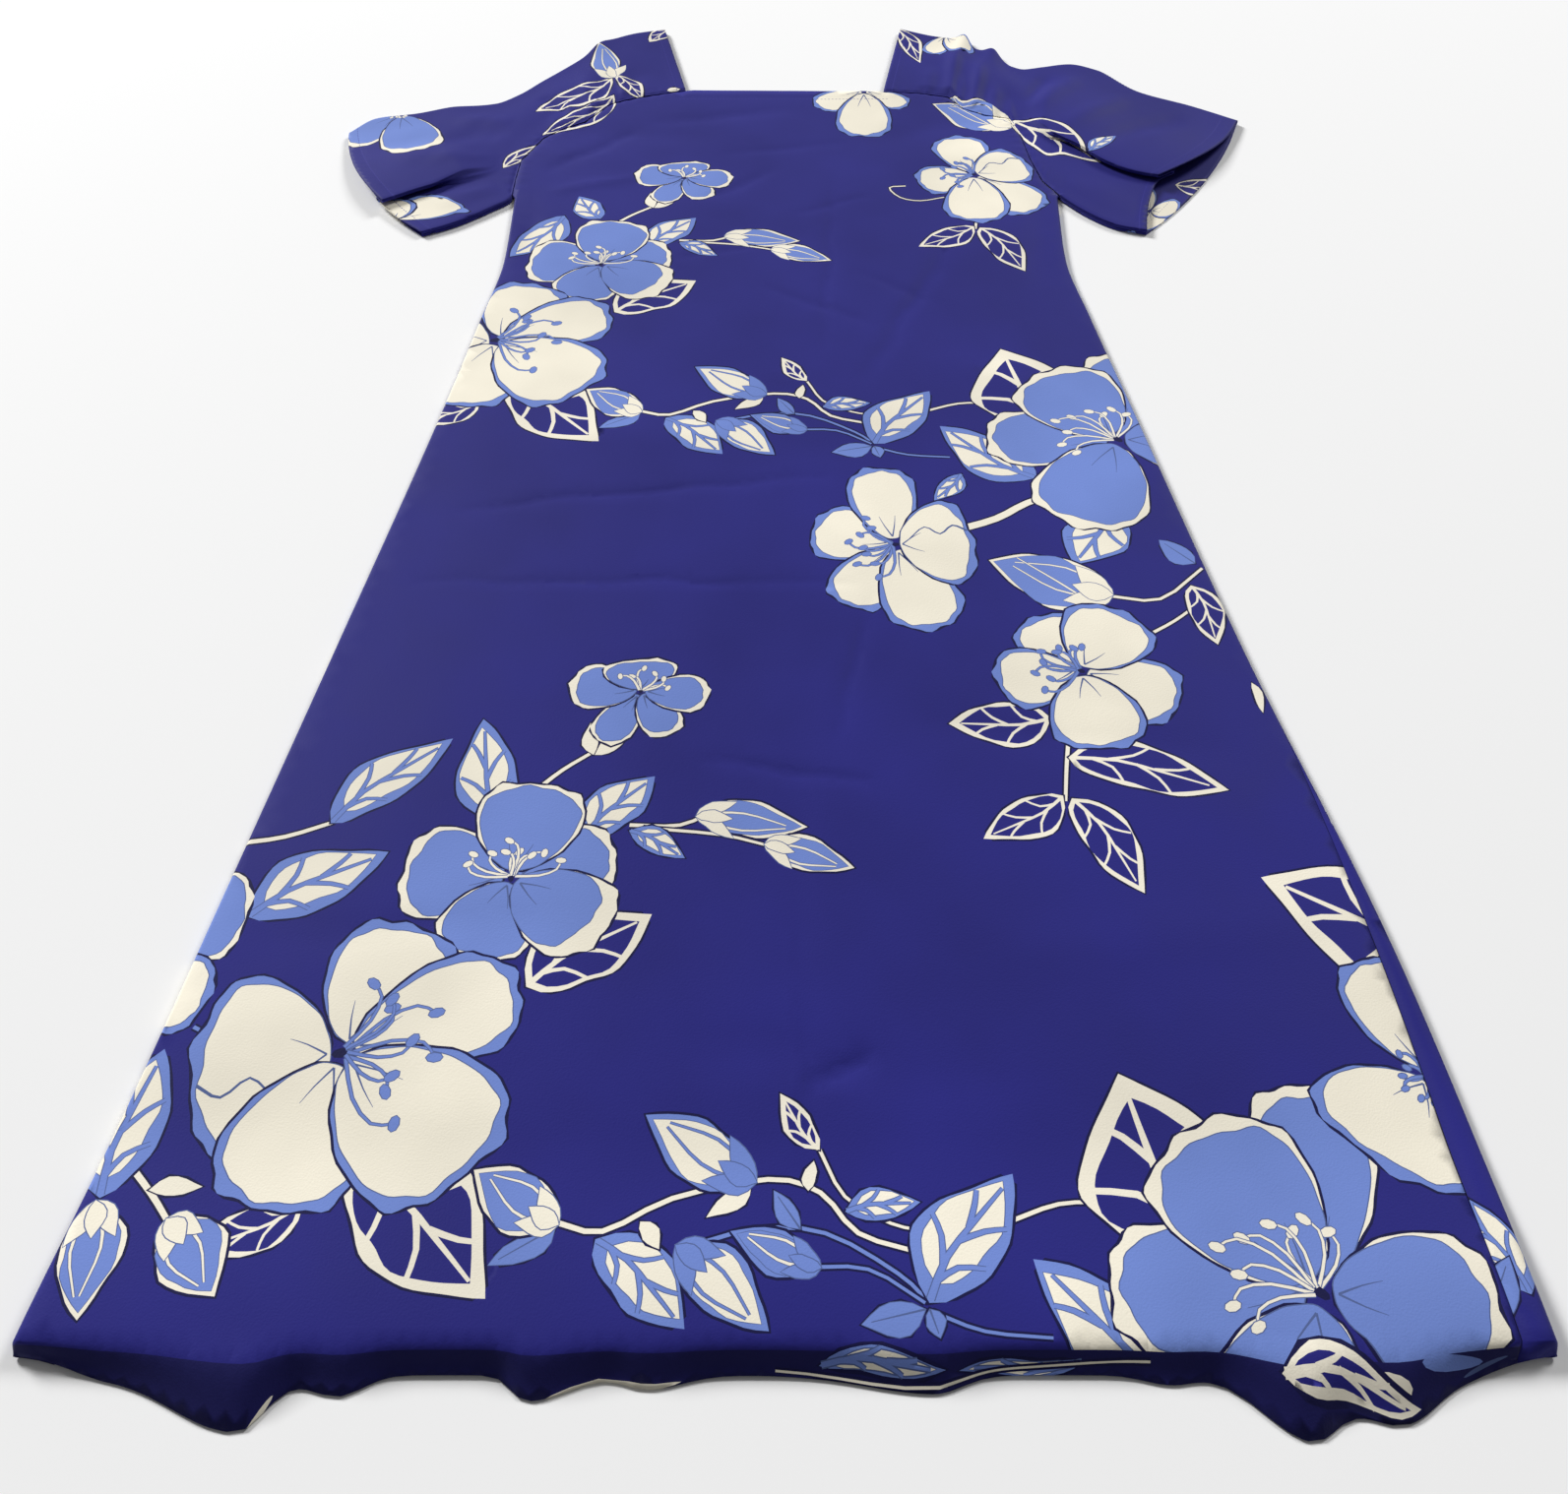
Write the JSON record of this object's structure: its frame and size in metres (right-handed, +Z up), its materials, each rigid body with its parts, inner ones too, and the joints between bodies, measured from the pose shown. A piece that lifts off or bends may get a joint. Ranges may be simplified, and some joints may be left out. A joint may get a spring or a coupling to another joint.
{
  "type": "muumuu dress",
  "caption": "Long A-line dress laid flat face up, with a wide square neck, short gathered raglan sleeves with a tuck fold, and a wavy turned-down hem.",
  "frame": {"origin": "middle of the dress's box, on the surface that the dress lies on", "axes": "+X across the dress towards the picture's right, +Y from the hem to the neck, +Z up from the surface"},
  "size_m": [0.858, 1.3846, 0.0119],
  "materials": {
    "cloth": "smooth navy cloth with a soft sheen, printed with flowers and leaves in light blue and ivory"
  },
  "bodies": {
    "root": {"front_panel": "cloth", "back_panel": "cloth", "sleeve_left": "cloth", "sleeve_right": "cloth"}
  },
  "joints": []
}
